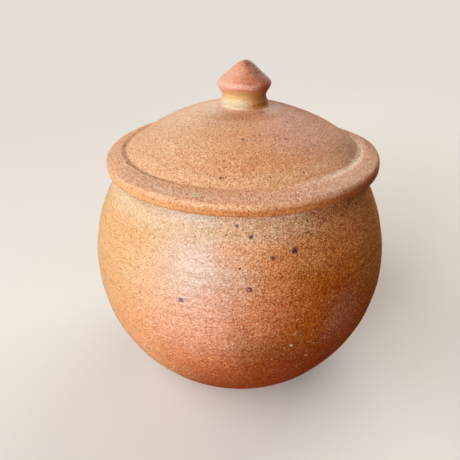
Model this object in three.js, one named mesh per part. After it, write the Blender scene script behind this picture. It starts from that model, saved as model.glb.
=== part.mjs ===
// A stoneware sugar jar thrown on the wheel: a round-bellied jar, a domed lid that lifts off it, and a
// pointed knob that is stuck to the lid with slip before firing.
// Millimetres, +Z up. The origin is the centre of the foot, on the surface that the jar stands on.

import * as THREE from 'three';

// Jar, outside
const BELLY_RADIUS = 53; // greatest radius
const BELLY_HEIGHT = 43; // surface to belly
const SHOULDER_HEIGHT = 36.25; // belly to mouth
const MOUTH_INSET = 13; // belly to the mouth's outer edge, along the radius
const FOOT_INSET = 20; // belly to the foot's outer edge, along the radius
const FOOT_BEVEL = 1; // trimmed edge of the foot
const FOOT_RING_WIDTH = 7; // flat ring that the jar stands on
const FOOT_RECESS = 1.5; // hollow inside the foot ring

// Jar, inside
const JAR_WALL = 4.5; // wall at the belly
const JAR_FLOOR = 5; // clay between the foot's hollow and the inside
const FLOOR_FLAT_RADIUS = 18; // flat middle of the inside, before it curves up
const LAND_WIDTH = 5; // flat land around the mouth, which the lid rests on
const LIP_DEPTH = 3; // straight bore below the land
const LIP_BEVEL = 0.6; // softened inner edge of the land

// Lid
const BRIM_OVERHANG = 6.3; // brim past the mouth's outer edge
const BRIM_WIDTH = 5.3; // brim's edge to the crest of the brim
const BRIM_EDGE = 3.6; // thickness of the rounded edge
const BRIM_NOSE = 1.7; // how far the rounding of the edge reaches in
const CREST_HEIGHT = 5.5; // brim's underside to its crest
const VALLEY_WIDTH = 1.3; // crest to the groove where the dome starts
const VALLEY_DEPTH = 0.7; // depth of that groove
const CROWN_HEIGHT = 18.5; // brim's underside to the flat under the knob
const LID_WALL = 4.5; // wall of the dome
const FLANGE_DEPTH = 7; // ring under the lid, which keeps it in the mouth
const FLANGE_WALL = 3.5;
const FLANGE_BEVEL = 0.8;
const FLANGE_PLAY = 1.4; // clearance all round between the flange and the mouth
const REST_GAP = 0.35; // clearance left on the side that the lid has slid to

// Knob
const KNOB_RADIUS = 8.85; // widest part
const KNOB_HEIGHT = 14.4;
const WIDEST_HEIGHT = 7.1; // foot of the knob to its widest part
const SHOULDER_DRAW = 0.75; // rounding from the widest part to the cone, along the radius
const SHOULDER_RISE = 1.1; // the same rounding, upwards
const TIP_WIDTH = 1.7; // rounding at the point
const NECK_INSET = 1.65; // waist under the widest part
const NECK_HEIGHT = 3.1;
const KNOB_FOOT_FLARE = 0.75; // foot of the knob past its waist

// Facets
const BODY_SEGMENTS = 48;
const KNOB_SEGMENTS = 36;
const CURVE_STEPS = 4;

// Sizes that follow from those above
const footRadius = BELLY_RADIUS - FOOT_INSET;
const mouthRadius = BELLY_RADIUS - MOUTH_INSET;
const throatRadius = mouthRadius - LAND_WIDTH;
const seatHeight = BELLY_HEIGHT + SHOULDER_HEIGHT;
const lidShift = FLANGE_PLAY - REST_GAP;
const neckRadius = KNOB_RADIUS - NECK_INSET;
const knobFootRadius = neckRadius + KNOB_FOOT_FLARE;

// Fired clay of one firing in three tones
const bodyClay = new THREE.MeshStandardMaterial({ color: 0xc98057, roughness: 0.7, metalness: 0 });
const lidClay = new THREE.MeshStandardMaterial({ color: 0xcc8f66, roughness: 0.75, metalness: 0 });
const knobClay = new THREE.MeshStandardMaterial({ color: 0xd18a69, roughness: 0.5, metalness: 0 });

// Turns a half-section, drawn as radius and height from axis to axis, into a solid about +Z.
function thrown(name, section, segments, material) {
  const geometry = new THREE.LatheGeometry(section.getPoints(CURVE_STEPS), segments);
  geometry.rotateX(Math.PI / 2);
  const mesh = new THREE.Mesh(geometry, material);
  mesh.name = name;
  return mesh;
}

// The jar's outside is an ellipse from foot to belly and another from belly to mouth. Inside, the wall
// curves down from the lip past the belly into a flat floor, so it is thickest low down.
function jarSection() {
  const footAngle = Math.acos(footRadius / BELLY_RADIUS);
  const footSemiHeight = (BELLY_HEIGHT - FOOT_BEVEL) / Math.sin(footAngle);
  const mouthAngle = Math.acos(mouthRadius / BELLY_RADIUS);
  const mouthSemiHeight = SHOULDER_HEIGHT / Math.sin(mouthAngle);
  const insideRadius = BELLY_RADIUS - JAR_WALL;
  const throatAngle = Math.acos(throatRadius / insideRadius);
  const throatSemiHeight = (SHOULDER_HEIGHT - LIP_DEPTH) / Math.sin(throatAngle);
  const recessRadius = footRadius - FOOT_BEVEL - FOOT_RING_WIDTH;
  const floorHeight = FOOT_RECESS + JAR_FLOOR;

  const section = new THREE.Path();
  section.moveTo(0, FOOT_RECESS);
  section.lineTo(recessRadius - FOOT_RECESS, FOOT_RECESS);
  section.lineTo(recessRadius, 0);
  section.lineTo(footRadius - FOOT_BEVEL, 0);
  section.absellipse(0, BELLY_HEIGHT, BELLY_RADIUS, footSemiHeight, -footAngle, 0, false, 0);
  section.absellipse(0, BELLY_HEIGHT, BELLY_RADIUS, mouthSemiHeight, 0, mouthAngle, false, 0);
  section.lineTo(throatRadius + LIP_BEVEL, seatHeight);
  section.lineTo(throatRadius, seatHeight - LIP_BEVEL);
  section.absellipse(0, BELLY_HEIGHT, insideRadius, throatSemiHeight, throatAngle, 0, true, 0);
  section.absellipse(
    FLOOR_FLAT_RADIUS, BELLY_HEIGHT,
    insideRadius - FLOOR_FLAT_RADIUS, BELLY_HEIGHT - floorHeight,
    0, -Math.PI / 2, true, 0,
  );
  section.lineTo(0, floorHeight);
  return section;
}

// The lid's section has the underside of the brim at height 0. The dome is one arc about a centre on the
// axis, from the groove up to the flat under the knob, and its hollow is an arc about the same centre.
function lidSection() {
  const flangeRadius = throatRadius - FLANGE_PLAY;
  const flangeInnerRadius = flangeRadius - FLANGE_WALL;
  const brimRadius = mouthRadius + BRIM_OVERHANG;
  const crestRadius = brimRadius - BRIM_WIDTH;
  const valleyRadius = crestRadius - VALLEY_WIDTH;
  const valleyHeight = CREST_HEIGHT - VALLEY_DEPTH;
  const crownReach = knobFootRadius ** 2 + CROWN_HEIGHT ** 2;
  const valleyReach = valleyRadius ** 2 + valleyHeight ** 2;
  const domeCentre = (crownReach - valleyReach) / (2 * (CROWN_HEIGHT - valleyHeight));
  const domeRadius = Math.hypot(valleyRadius, valleyHeight - domeCentre);
  const hollowRadius = domeRadius - LID_WALL;
  const hollowAngle = Math.acos(flangeInnerRadius / hollowRadius);
  const valleyAngle = Math.acos(valleyRadius / domeRadius);
  const crownAngle = Math.acos(knobFootRadius / domeRadius);

  const section = new THREE.Path();
  section.moveTo(0, domeCentre + hollowRadius);
  section.absarc(0, domeCentre, hollowRadius, Math.PI / 2, hollowAngle, true);
  section.lineTo(flangeInnerRadius, FLANGE_BEVEL - FLANGE_DEPTH);
  section.lineTo(flangeInnerRadius + FLANGE_BEVEL, -FLANGE_DEPTH);
  section.lineTo(flangeRadius - FLANGE_BEVEL, -FLANGE_DEPTH);
  section.lineTo(flangeRadius, FLANGE_BEVEL - FLANGE_DEPTH);
  section.lineTo(flangeRadius, 0);
  section.absellipse(
    brimRadius - BRIM_NOSE, BRIM_EDGE / 2, BRIM_NOSE, BRIM_EDGE / 2,
    -Math.PI / 2, Math.PI / 2, false, 0,
  );
  section.splineThru([
    new THREE.Vector2(crestRadius, CREST_HEIGHT),
    new THREE.Vector2(valleyRadius, valleyHeight),
  ]);
  section.absarc(0, domeCentre, domeRadius, valleyAngle, crownAngle, false);
  section.lineTo(0, CROWN_HEIGHT);
  return section;
}

// The knob stands on a flared foot, draws in to a waist, swells to its widest part and closes in a cone
// with a blunt point.
function knobSection() {
  const coneRadius = KNOB_RADIUS - SHOULDER_DRAW;
  const coneHeight = WIDEST_HEIGHT + SHOULDER_RISE;
  const coneSlope = (KNOB_HEIGHT - coneHeight) / (coneRadius - TIP_WIDTH / 2);

  const section = new THREE.Path();
  section.moveTo(0, 0);
  section.lineTo(knobFootRadius, 0);
  section.splineThru([
    new THREE.Vector2(neckRadius, NECK_HEIGHT),
    new THREE.Vector2(KNOB_RADIUS, WIDEST_HEIGHT),
    new THREE.Vector2(coneRadius, coneHeight),
  ]);
  section.lineTo(TIP_WIDTH, KNOB_HEIGHT - (TIP_WIDTH / 2) * coneSlope);
  section.quadraticCurveTo(TIP_WIDTH / 2, KNOB_HEIGHT, 0, KNOB_HEIGHT);
  return section;
}

const jarBody = thrown('jar_body', jarSection(), BODY_SEGMENTS, bodyClay);
const lid = thrown('lid', lidSection(), BODY_SEGMENTS, lidClay);
const knob = thrown('lid_knob', knobSection(), KNOB_SEGMENTS, knobClay);
knob.position.z = CROWN_HEIGHT;

// The lid and its knob lift off together. They rest on the mouth's land, slid a little towards +X.
const liftedPieces = new THREE.Group();
liftedPieces.add(lid, knob);
liftedPieces.position.set(lidShift, 0, seatHeight);

const sugarJar = new THREE.Group();
sugarJar.add(jarBody, liftedPieces);

export default sugarJar;
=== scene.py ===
# %% [markdown]
# # A wood-fired sugar jar
# The jar in this lesson was thrown on a potter's wheel from coarse stoneware clay and fired without a
# glaze. The flame alone coloured it, from pale peach to brown. It comes apart into three pieces: the jar,
# its domed lid, and the knob that was stuck to the lid with slip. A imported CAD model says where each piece
# is and how it moves. Here every piece is made again, finer, and gets a surface worth looking at.

import math

import bpy
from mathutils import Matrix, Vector


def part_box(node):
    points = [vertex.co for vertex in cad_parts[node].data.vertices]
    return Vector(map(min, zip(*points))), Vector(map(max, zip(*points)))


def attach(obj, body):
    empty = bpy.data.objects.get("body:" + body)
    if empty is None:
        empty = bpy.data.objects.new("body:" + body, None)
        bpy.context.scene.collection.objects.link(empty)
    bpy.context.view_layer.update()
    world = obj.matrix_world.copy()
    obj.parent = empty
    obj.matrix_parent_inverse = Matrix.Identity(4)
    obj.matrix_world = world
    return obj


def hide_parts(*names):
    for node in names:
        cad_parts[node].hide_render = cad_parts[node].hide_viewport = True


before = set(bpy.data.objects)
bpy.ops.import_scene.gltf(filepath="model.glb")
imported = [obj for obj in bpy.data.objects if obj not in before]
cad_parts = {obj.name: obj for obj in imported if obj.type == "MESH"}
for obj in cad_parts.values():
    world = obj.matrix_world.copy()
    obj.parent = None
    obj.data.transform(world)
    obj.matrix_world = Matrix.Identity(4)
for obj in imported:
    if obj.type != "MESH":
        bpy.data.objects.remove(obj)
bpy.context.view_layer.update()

# %% [markdown]
# Every length below is in millimetres, as a potter would measure it, and MM turns it into Blender's metres.
# The frame gives the sizes that matter: where the jar ends, where the lid rests and how far the lid has
# slid to one side in its seat. They could be typed in again, but read from the frame they can't drift.

# %% Sizes from the frame
MM = 0.001


def node_box(node):
    """A CAD node's lowest and highest corner, in millimetres."""
    return [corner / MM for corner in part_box(node)]


jar_low, jar_high = node_box("jar_body")
lid_low, lid_high = node_box("lid")
knob_low, knob_high = node_box("lid_knob")

FLANGE_DEPTH = 7.0  # ring under the lid, which reaches down into the mouth
BELLY_RADIUS = (jar_high.x - jar_low.x) / 2
SEAT_HEIGHT = jar_high.z
LID_SHIFT = (lid_low.x + lid_high.x) / 2
BRIM_RADIUS = (lid_high.x - lid_low.x) / 2
KNOB_SEAT = knob_low.z
KNOB_HEIGHT = knob_high.z - knob_low.z
print("belly radius", round(BELLY_RADIUS, 2), "seat", round(SEAT_HEIGHT, 2), "lid shift", round(LID_SHIFT, 2))
print("brim radius", round(BRIM_RADIUS, 2), "knob", round(KNOB_SEAT, 2), "to", round(knob_high.z, 2))

# %% [markdown]
# A thrown pot is a solid of revolution: the wheel turns and the potter's hands hold a line. So each piece
# starts as half of its cross-section, drawn as radius and height, and is then spun round the wheel's axis.
# A Screw modifier on a curve would do the same. Edit mode's Spin is used here because the mesh can be
# cleaned straight after it. Two small helpers give the points of the line: an elliptic arc, and a bend
# between two straight runs.

# %% Lines of a half-section
def arc(centre, reach, start, end, count):
    """Points on an ellipse about centre, with reach as its half width and half height, between two angles."""
    turns = [start + (end - start) * i / count for i in range(count + 1)]
    return [(centre[0] + reach[0] * math.cos(t), centre[1] + reach[1] * math.sin(t)) for t in turns]


def bend(start, corner, end, count):
    """Points of a curve that leaves start towards corner and arrives at end from it."""
    steps = [i / count for i in range(count + 1)]
    weights = [((1 - t) ** 2, 2 * t * (1 - t), t * t) for t in steps]
    return [
        tuple(a * start[k] + b * corner[k] + c * end[k] for k in (0, 1))
        for a, b, c in weights
    ]


def run(start, end, count):
    """Evenly spaced points on a straight line."""
    return bend(start, ((start[0] + end[0]) / 2, (start[1] + end[1]) / 2), end, count)


print("a bend over a 2 mm corner:", [(round(r, 2), round(z, 2)) for r, z in bend((0, 0), (2, 0), (2, 2), 4)])

# %% [markdown]
# One function throws a piece. It adds a small plane, merges it to a single point at the start of the
# line, extrudes that point along the half-section, and spins the line through a full turn. Spin leaves the
# first and last line on top of each other and a stack of points on the axis, so doubles are merged, and
# the normals are recalculated after that. Smoothing by angle keeps the few crisp edges crisp.

# %% Throwing a half-section
CRISP_ANGLE = math.radians(40)
MERGE_DISTANCE = 0.002 * MM


def throw(name, section, turns, axis_x, base_z):
    """Spins a half-section, in mm, about an upright axis at axis_x and with its zero height at base_z."""
    bpy.ops.object.select_all(action="DESELECT")
    points = [Vector(((axis_x + r) * MM, 0, (base_z + z) * MM)) for r, z in section]
    bpy.ops.mesh.primitive_plane_add(size=MM, location=points[0])
    piece = bpy.context.object
    piece.name = piece.data.name = name
    bpy.ops.object.transform_apply(location=True, rotation=True, scale=True)
    bpy.ops.object.mode_set(mode="EDIT")
    bpy.ops.mesh.select_all(action="SELECT")
    bpy.ops.mesh.merge(type="CENTER")
    for before, after in zip(points, points[1:]):
        bpy.ops.mesh.extrude_region_move(TRANSFORM_OT_translate={"value": after - before})
    bpy.ops.mesh.select_all(action="SELECT")
    bpy.ops.mesh.spin(steps=turns, angle=2 * math.pi, center=(axis_x * MM, 0, 0), axis=(0, 0, 1))
    bpy.ops.mesh.select_all(action="SELECT")
    bpy.ops.mesh.remove_doubles(threshold=MERGE_DISTANCE)
    bpy.ops.mesh.normals_make_consistent(inside=False)
    bpy.ops.object.mode_set(mode="OBJECT")
    bpy.ops.object.shade_smooth_by_angle(angle=CRISP_ANGLE)
    print(name, len(section), "points in the section,", len(piece.data.polygons), "faces")
    return piece


# %% [markdown]
# Fingers on turning clay leave shallow rings. On this jar they were wiped down with a rib, so they show
# only as faint lines where the light grazes them. They are real shape, so they go into the line before it
# is spun: each point moves out or in along the line's own normal by a small wave. Two waves of different
# spacing keep it from looking machined.

# %% Throwing rings
RING_SPACING = 3.1
SLOW_SPACING = 11.0
SLOW_SHARE = 0.8  # depth of the slow wave beside the quick one
SLOW_START = 1.0  # radians, so that the two waves don't start together
FADED_POINTS = 6  # the rings fade over so many points at either end


def ringed(line, depth):
    """A line with throwing rings of that depth, fading out at both ends."""
    moved = []
    walked = 0.0
    last = len(line) - 1
    for i, (r, z) in enumerate(line):
        before, after = line[max(i - 1, 0)], line[min(i + 1, last)]
        along = Vector((after[0] - before[0], after[1] - before[1])).normalized()
        walked += math.dist(line[max(i - 1, 0)], (r, z))
        wave = math.sin(walked * 2 * math.pi / RING_SPACING)
        wave += SLOW_SHARE * math.sin(walked * 2 * math.pi / SLOW_SPACING + SLOW_START)
        step = depth * wave * min(1, i / FADED_POINTS, (last - i) / FADED_POINTS)
        moved.append((r + along.y * step, z - along.x * step))
    return moved


flat_wall = ringed(run((0, 0), (0, 30), 30), 0.05)
print("deepest ring on a flat wall", round(max(abs(r) for r, z in flat_wall), 3), "mm")

# %% [markdown]
# The jar first. Its outside is one ellipse from foot to belly and another from belly to mouth. The foot
# was trimmed to a ring with a shallow hollow, and the mouth has a flat land that the lid rests on. The
# inside follows the outside at the wall's thickness and runs into a flat floor. Edges that a sponge went
# over are bends, not corners.

# %% The jar's half-section
BELLY_HEIGHT = 43.0
FOOT_RADIUS = 33.0
FOOT_EDGE = 1.0
FOOT_ROUND = 1.6  # how far the rounding of the foot's outer edge reaches in
FOOT_RING_WIDTH = 7.0
FOOT_RING_EDGE = 1.0  # softened inner edge of that ring
FOOT_HOLLOW = 1.5
MOUTH_RADIUS = 40.0
MOUTH_EDGE = 0.7
THROAT_RADIUS = 35.0
LIP_DEPTH = 3.0
LIP_EDGE = 0.6
JAR_WALL = 4.5
FLOOR_HEIGHT = 6.5
FLOOR_FLAT = 18.0

foot_turn = math.acos(FOOT_RADIUS / BELLY_RADIUS)
mouth_turn = math.acos(MOUTH_RADIUS / BELLY_RADIUS)
LOWER_REACH = (BELLY_HEIGHT - FOOT_EDGE) / math.sin(foot_turn)
UPPER_REACH = (SEAT_HEIGHT - BELLY_HEIGHT) / math.sin(mouth_turn)
inside_radius = BELLY_RADIUS - JAR_WALL
throat_turn = math.acos(THROAT_RADIUS / inside_radius)
throat_reach = (SEAT_HEIGHT - LIP_DEPTH - BELLY_HEIGHT) / math.sin(throat_turn)
ring_inner = FOOT_RADIUS - FOOT_EDGE - FOOT_RING_WIDTH
belly = (0, BELLY_HEIGHT)

outside = arc(belly, (BELLY_RADIUS, LOWER_REACH), -foot_turn, 0, 52)
outside += arc(belly, (BELLY_RADIUS, UPPER_REACH), 0, mouth_turn, 44)[1:]
inside = arc(belly, (inside_radius, throat_reach), throat_turn, 0, 24)
inside += arc(
    (FLOOR_FLAT, BELLY_HEIGHT),
    (inside_radius - FLOOR_FLAT, BELLY_HEIGHT - FLOOR_HEIGHT),
    0, -math.pi / 2, 32,
)[1:]
print("outside", len(outside), "points, inside", len(inside), "points")

# %% [markdown]
# Now the pieces of line are joined into one, from the hollow under the foot, up the outside, over the
# mouth, and down the inside to the middle of the floor. A bend replaces each corner.

# %% The jar is thrown
OUTER_RING_DEPTH = 0.035
INNER_RING_DEPTH = 0.08
JAR_TURNS = 360

hollow_edge = (ring_inner - 2 * FOOT_HOLLOW, FOOT_HOLLOW)
hollow_side = (ring_inner - FOOT_HOLLOW / 2, FOOT_HOLLOW / 2)
ring_start = (ring_inner + FOOT_RING_EDGE, 0)
ring_end = (FOOT_RADIUS - FOOT_ROUND, 0)
foot = run((0, FOOT_HOLLOW), hollow_edge, 5)
foot += bend(hollow_edge, (ring_inner - FOOT_HOLLOW, FOOT_HOLLOW), hollow_side, 3)[1:]
foot += bend(hollow_side, (ring_inner, 0), ring_start, 3)[1:]
foot += run(ring_start, ring_end, 4)[1:]
foot += bend(ring_end, (FOOT_RADIUS - FOOT_EDGE / 2, 0), outside[0], 4)[1:-1]

shoulder = ringed(outside, OUTER_RING_DEPTH)
mouth = bend(shoulder[-2], shoulder[-1], (MOUTH_RADIUS - MOUTH_EDGE, SEAT_HEIGHT), 4)[1:]
mouth += run(mouth[-1], (THROAT_RADIUS + LIP_EDGE, SEAT_HEIGHT), 4)[1:]
mouth += bend(mouth[-1], (THROAT_RADIUS, SEAT_HEIGHT), (THROAT_RADIUS, SEAT_HEIGHT - LIP_EDGE), 4)[1:]
floor_line = run((FLOOR_FLAT, FLOOR_HEIGHT), (0, FLOOR_HEIGHT), 6)[1:]

jar_section = foot + shoulder[:-1] + mouth + ringed(inside, INNER_RING_DEPTH) + floor_line
thrown_jar = throw("thrown_jar", jar_section, JAR_TURNS, 0, 0)

# %% [markdown]
# The lid's dome is one arc. Round it runs a groove, then a brim that overhangs the mouth and ends in an
# edge with two soft corners. Underneath, a flange drops into the mouth so that the lid can't slide off. The
# dome's centre lies on the axis, below the seat, and follows from the two points that the arc passes
# through: the groove and the flat under the knob.

# %% The lid's half-section
CREST_INSET = 5.3
CREST_HEIGHT = 5.5
GROOVE_WIDTH = 1.3
GROOVE_DEPTH = 0.7
LID_WALL = 4.5
FLANGE_PLAY = 1.4
FLANGE_WALL = 3.5
FLANGE_EDGE = 0.8
KNOB_FOOT_RADIUS = 7.95

crown_height = KNOB_SEAT - SEAT_HEIGHT
crest = (BRIM_RADIUS - CREST_INSET, CREST_HEIGHT)
groove = (crest[0] - GROOVE_WIDTH, CREST_HEIGHT - GROOVE_DEPTH)
crown_reach = KNOB_FOOT_RADIUS**2 + crown_height**2
groove_reach = groove[0] ** 2 + groove[1] ** 2
DOME_CENTRE = (crown_reach - groove_reach) / (2 * (crown_height - groove[1]))
DOME_RADIUS = math.hypot(groove[0], groove[1] - DOME_CENTRE)
flange_outer = THROAT_RADIUS - FLANGE_PLAY
flange_inner = flange_outer - FLANGE_WALL
hollow_radius = DOME_RADIUS - LID_WALL
print("dome centre", round(DOME_CENTRE, 2), "dome radius", round(DOME_RADIUS, 2), "mm")

# %% [markdown]
# The line starts under the lid. It goes from the middle of the hollow out to the flange, round the flange's
# foot, and along the flat underside to the brim. It stays exactly on the CAD's flat underside, because that
# is where the lid rests on the jar.

# %% The underside of the lid
EDGE_ROUND = 0.9  # rounding of the lower corner of the brim's edge

hollow_end = math.acos(flange_inner / hollow_radius)
hollow = arc((0, DOME_CENTRE), (hollow_radius,) * 2, math.pi / 2, hollow_end, 16)
flange = run(hollow[-1], (flange_inner, FLANGE_EDGE - FLANGE_DEPTH), 5)[1:]
flange_foot = (flange_inner + FLANGE_EDGE, -FLANGE_DEPTH)
flange += bend(flange[-1], (flange_inner, -FLANGE_DEPTH), flange_foot, 4)[1:]
flange += run(flange[-1], (flange_outer - FLANGE_EDGE, -FLANGE_DEPTH), 2)[1:]
flange_side = (flange_outer, FLANGE_EDGE - FLANGE_DEPTH)
flange += bend(flange[-1], (flange_outer, -FLANGE_DEPTH), flange_side, 4)[1:]
flange += run(flange[-1], (flange_outer, 0), 4)[1:]
edge_start = (BRIM_RADIUS - EDGE_ROUND, 0)
underside = run((flange_outer, 0), edge_start, 8)[1:]
print("hollow", len(hollow), "points, flange", len(flange), "points, underside", len(underside), "points")

# %% [markdown]
# Then it turns up round the edge of the brim, rises over the crest, falls into the groove and climbs the
# dome to the flat under the knob. A plain arc would do for the edge. Two bends with a short upright between
# them are closer to an edge that was cut and then softened with a finger.

# %% The lid is thrown
LID_TURNS = 320
CORNER_START = 1.9  # height where the rounding of the edge's upper corner starts
CORNER_HEIGHT = 3.7  # height where the lines of edge and brim would meet
CORNER_WIDTH = 1.5  # reach of that rounding along the brim
CORNER_RISE = 0.4  # how much the brim rises over that reach
SLOPE_INSET = 3.0  # the brim's slope is drawn towards a point this far from the edge
SLOPE_HEIGHT = 5.0  # and at this height
CREST_OUTER = (0.9, -0.25)  # start of the crest's rounding, from its top
CREST_INNER = (-0.55, -0.3)  # its end, towards the groove
CREST_PEAK = 0.12  # how far above the crest the two slopes would meet

edge_end = (BRIM_RADIUS, CORNER_START)
corner_end = (BRIM_RADIUS - CORNER_WIDTH, CORNER_HEIGHT + CORNER_RISE)
edge = bend(edge_start, (BRIM_RADIUS, 0), (BRIM_RADIUS, EDGE_ROUND), 6)[1:]
edge += run(edge[-1], edge_end, 3)[1:]
edge += bend(edge_end, (BRIM_RADIUS, CORNER_HEIGHT), corner_end, 10)[1:]
dome_start = math.acos(groove[0] / DOME_RADIUS)
dome_end = math.acos(KNOB_FOOT_RADIUS / DOME_RADIUS)
dome = arc((0, DOME_CENTRE), (DOME_RADIUS,) * 2, dome_start, dome_end, 40)
before_crest = (crest[0] + CREST_OUTER[0], crest[1] + CREST_OUTER[1])
after_crest = (crest[0] + CREST_INNER[0], crest[1] + CREST_INNER[1])
brim = bend(corner_end, (BRIM_RADIUS - SLOPE_INSET, SLOPE_HEIGHT), before_crest, 8)[1:]
brim += bend(before_crest, (crest[0], crest[1] + CREST_PEAK), after_crest, 5)[1:]
brim += bend(after_crest, groove, dome[1], 4)[1:]
crown = run(dome[-1], (0, crown_height), 3)[1:]

lid_section = hollow + flange + underside + edge + brim + dome[2:] + crown
domed_lid = throw("domed_lid", lid_section, LID_TURNS, LID_SHIFT, SEAT_HEIGHT)

# %% [markdown]
# The knob is a short stem with a pointed cap, pinched from a lump of clay while the lid was still on the
# wheel, and set a little off its middle. Its foot flares where slip and glaze fill the joint, it draws in
# to a waist, swells to its widest part, and closes in a cone. A cosine gives the swell between two radii a
# soft start and a soft end.

# %% The knob is thrown
KNOB_RADIUS = 8.85
WIDEST_HEIGHT = 7.1
WAIST_RADIUS = 7.2
WAIST_HEIGHT = 3.1
CONE_RADIUS = 8.1
CONE_HEIGHT = 8.2
RIDGE_END = 7.3  # radius where the rounding of the widest part has become the cone
TIP_WIDTH = 1.7
TIP_WEAR = 0.45  # how much lower the blunt point is than a sharp one
FILLET_WIDTH = 0.8  # how far the slip in the joint reaches out over the lid
FILLET_SINK = 0.25  # its rim dips this far into the dome, which falls away there
FILLET_HEIGHT = 0.9  # how far it climbs up the stem
FILLET_DRAW = 0.08  # how far the stem has drawn in at that height
FILLET_CORNER = 0.05  # height where its two slopes would meet
KNOB_TURNS = 160
KNOB_SHIFT = 0.35  # it was set a little off the middle of the lid


def swell(start, end, count):
    """Points between two radii that leave and arrive upright."""
    eased = [(i / count, (1 - math.cos(math.pi * i / count)) / 2) for i in range(count + 1)]
    return [(start[0] + (end[0] - start[0]) * e, start[1] + (end[1] - start[1]) * t) for t, e in eased]


cone_slope = (KNOB_HEIGHT - CONE_HEIGHT) / (CONE_RADIUS - TIP_WIDTH / 2)
cone_corner = (KNOB_RADIUS, CONE_HEIGHT - (KNOB_RADIUS - CONE_RADIUS) * cone_slope)
tip_height = KNOB_HEIGHT - TIP_WEAR
tip_corner = TIP_WIDTH / 2 + TIP_WEAR / cone_slope
tip_start = (2 * tip_corner, tip_height - tip_corner * cone_slope)
fillet_start = (KNOB_FOOT_RADIUS + FILLET_WIDTH, -FILLET_SINK)
fillet_end = (KNOB_FOOT_RADIUS - FILLET_DRAW, FILLET_HEIGHT)
fillet = bend(fillet_start, (KNOB_FOOT_RADIUS, FILLET_CORNER), fillet_end, 6)
stem = swell(fillet[-1], (WAIST_RADIUS, WAIST_HEIGHT), 8)[1:]
cap = swell((WAIST_RADIUS, WAIST_HEIGHT), (KNOB_RADIUS, WIDEST_HEIGHT), 14)[1:]
cone_start = (RIDGE_END, CONE_HEIGHT + (CONE_RADIUS - RIDGE_END) * cone_slope)
cap += bend(cap[-1], cone_corner, cone_start, 10)[1:]
cone = run(cone_start, tip_start, 20)[1:]
tip = bend(tip_start, (tip_corner, tip_height), (0, tip_height), 8)[1:]

knob_section = [(0, -FILLET_SINK)] + fillet + stem + cap + cone + tip
pointed_knob = throw("pointed_knob", knob_section, KNOB_TURNS, LID_SHIFT + KNOB_SHIFT, KNOB_SEAT)

# %% [markdown]
# The potter's last pinch drew the point a little to one side. Proportional editing does the same: the
# point is moved, and the clay round it follows less and less.

# %% The knob leans
POINT_LEAN = 0.5
PINCH_REACH = 8.0

tip_index = max(pointed_knob.data.vertices, key=lambda vertex: vertex.co.z).index
bpy.ops.object.mode_set(mode="EDIT")
bpy.ops.mesh.select_all(action="DESELECT")
bpy.ops.object.mode_set(mode="OBJECT")
pointed_knob.data.vertices[tip_index].select = True
bpy.ops.object.mode_set(mode="EDIT")
bpy.ops.mesh.select_mode(type="VERT")
bpy.ops.transform.translate(
    value=(POINT_LEAN * MM, 0, 0),
    use_proportional_edit=True, proportional_edit_falloff="SMOOTH", proportional_size=PINCH_REACH * MM,
)
bpy.ops.object.mode_set(mode="OBJECT")
print("the point is now at", [round(v / MM, 2) for v in pointed_knob.data.vertices[tip_index].co], "mm")

# %% [markdown]
# Nothing thrown by hand is perfectly round. Drying and the kiln pull the clay about by a few tenths of a
# millimetre, which shows as a slow waver of the light on the wall. A Displace modifier with a soft clouds
# texture does this. It could move every point, but the lid has to sit flat on the mouth, so a vertex group
# lets it act on the outer skin alone and fades it out towards foot, mouth and brim.

# %% Slow waver of the clay
WAVER_DEPTH = 0.5
WAVER_SIZE = 26.0
FADE_WIDTH = 9.0
STILL_FOOT = 2.0  # the waver starts this far above the foot
STILL_MOUTH = 1.0  # and ends this far below the mouth
STILL_GROOVE = 1.0  # on the lid it starts this far below the crest
STILL_CROWN = 0.5  # and ends this far below the knob


def waver(piece, lowest, highest):
    """Moves the outer skin between two heights in and out by soft clouds."""
    skin = piece.vertex_groups.new(name="outer_skin")
    for vertex in piece.data.vertices:
        height = vertex.co.z / MM
        outward = vertex.normal.x * vertex.co.x + vertex.normal.y * vertex.co.y
        share = min(1.0, (height - lowest) / FADE_WIDTH, (highest - height) / FADE_WIDTH)
        if share > 0 and outward > 0:
            skin.add([vertex.index], share, "REPLACE")
    clouds = bpy.data.textures.new(piece.name + "_clouds", "CLOUDS")
    clouds.noise_scale = WAVER_SIZE * MM
    bpy.ops.object.select_all(action="DESELECT")
    piece.select_set(True)
    bpy.context.view_layer.objects.active = piece
    bpy.ops.object.modifier_add(type="DISPLACE")
    displace = piece.modifiers[-1]
    displace.texture = clouds
    displace.texture_coords = "LOCAL"
    displace.strength = WAVER_DEPTH * MM
    displace.vertex_group = skin.name
    bpy.ops.object.modifier_apply(modifier=displace.name)
    print(piece.name, "wavers over", len(piece.data.vertices), "points")


waver(thrown_jar, STILL_FOOT, SEAT_HEIGHT - STILL_MOUTH)
waver(domed_lid, SEAT_HEIGHT + CREST_HEIGHT - STILL_GROOVE, KNOB_SEAT - STILL_CROWN)

# %% [markdown]
# In the heat the lid has also sunk by about a millimetre at the back on the right, where nothing holds its
# brim up. Proportional editing could push it down, but it would take along the underside that rests on the
# mouth. A Displace modifier that acts downwards can be held back there by its vertex group: the pull is
# full on the brim, fades up the dome, and is nothing where the lid rests.

# %% The side that sinks
SINK_FROM, SINK_FULL = 92, 125  # azimuth from the front towards +X, in degrees
SINK_FADING, SINK_TO = 165, 200
STILL_RADIUS = 10.0  # the dome stays as it is inside this
LEAST_UP = 0.05  # a skin whose normal points up by more than this is the lid's upper one


def soft_step(value, start, end):
    """0 at the start and 1 at the end, with a soft rise between them."""
    share = min(1.0, max(0.0, (value - start) / (end - start)))
    return share * share * (3 - 2 * share)


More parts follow.
